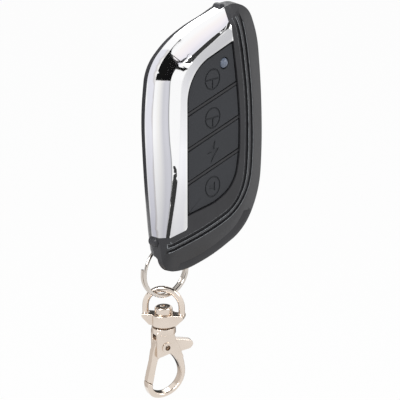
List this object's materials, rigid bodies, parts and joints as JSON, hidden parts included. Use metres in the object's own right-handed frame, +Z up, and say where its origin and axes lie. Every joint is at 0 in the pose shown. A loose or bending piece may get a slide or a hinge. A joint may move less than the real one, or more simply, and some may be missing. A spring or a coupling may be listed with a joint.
{
  "type": "wireless remote control",
  "caption": "Key-ring wireless remote control with rubber keys, chrome trim, status light, split ring and swivel lobster clasp",
  "frame": {"origin": "centre of the flat back face of the rear cover", "axes": "+Z up along the remote towards its top, +X to the right seen from the keys, the keys face -Y"},
  "size_m": [0.0443, 0.0135, 0.1112],
  "materials": {
    "trim_chrome": "bright chrome plating",
    "case_black": "satin black plastic",
    "key_rubber": "matte dark grey rubber",
    "mat_silicone": "translucent grey silicone",
    "board_green": "green solder mask",
    "led_clear": "water-clear resin",
    "chip_black": "moulded epoxy",
    "tinned_steel": "tinned steel",
    "cell_steel": "nickelled steel",
    "screw_steel": "black-oxide steel",
    "ring_nickel": "bright nickel plating",
    "clasp_nickel": "bright nickel plating",
    "spring_steel": "spring wire",
    "switch_body": "steel switch shell",
    "plunger_black": "black nylon"
  },
  "bodies": {
    "case": {"rear_cover": "case_black", "front_cover": "case_black", "chrome_trim": "trim_chrome", "keypad_mat": "mat_silicone", "circuit_board": "board_green", "status_led": "led_clear", "rf_chip": "chip_black", "encoder_chip": "chip_black", "resonator_can": "tinned_steel", "tact_switch_1": "switch_body", "tact_switch_2": "switch_body", "tact_switch_3": "switch_body", "tact_switch_4": "switch_body", "coin_cell": "cell_steel", "battery_clip": "tinned_steel", "battery_contact": "tinned_steel", "case_screw_top": "screw_steel", "case_screw_bottom": "screw_steel"},
    "ring": {"split_ring": "ring_nickel"},
    "eye": {"swivel_eye": "clasp_nickel"},
    "clasp": {"clasp_body": "clasp_nickel", "swivel_stud": "clasp_nickel", "gate_pin": "clasp_nickel", "gate_spring": "spring_steel"},
    "gate": {"clasp_gate": "clasp_nickel"},
    "arm_key": {"arm_key": "key_rubber", "switch_plunger_1": "plunger_black"},
    "disarm_key": {"disarm_key": "key_rubber", "switch_plunger_2": "plunger_black"},
    "flash_key": {"flash_key": "key_rubber", "switch_plunger_3": "plunger_black"},
    "siren_key": {"siren_key": "key_rubber", "switch_plunger_4": "plunger_black"}
  },
  "joints": [
    {"name": "arm_key_press", "type": "slide", "parent": "case", "child": "arm_key", "axis": [0, 1, 0], "range_m": [0, 0.0003], "stiffness_N_per_m": 4000, "springref_m": -0.0002, "deforming": ["keypad_mat"]},
    {"name": "disarm_key_press", "type": "slide", "parent": "case", "child": "disarm_key", "axis": [0, 1, 0], "range_m": [0, 0.0003], "stiffness_N_per_m": 4000, "springref_m": -0.0002},
    {"name": "flash_key_press", "type": "slide", "parent": "case", "child": "flash_key", "axis": [0, 1, 0], "range_m": [0, 0.0003], "stiffness_N_per_m": 4000, "springref_m": -0.0002},
    {"name": "siren_key_press", "type": "slide", "parent": "case", "child": "siren_key", "axis": [0, 1, 0], "range_m": [0, 0.0003], "stiffness_N_per_m": 4000, "springref_m": -0.0002},
    {"name": "ring_swing", "type": "hinge", "parent": "case", "child": "ring", "pos_m": [-0.0129, -0.00475, -0.0333], "axis": [0, -1, 0], "range_deg": [-5, 25]},
    {"name": "eye_swing", "type": "hinge", "parent": "ring", "child": "eye", "pos_m": [-0.0134, -0.00475, -0.0453], "axis": [0.9848, -0.1736, 0], "range_deg": [-25, 25]},
    {"name": "clasp_swivel", "type": "hinge", "parent": "eye", "child": "clasp", "pos_m": [-0.0134, -0.00475, -0.05445], "axis": [0, 0, 1], "continuous": true},
    {"name": "gate_pivot", "type": "hinge", "parent": "clasp", "child": "gate", "pos_m": [-0.01331, -0.00479, -0.06015], "axis": [-0.3746, -0.9272, 0], "range_deg": [0, 25], "stiffness_Nm_per_rad": 0.02, "springref_deg": -17.19}
  ]
}
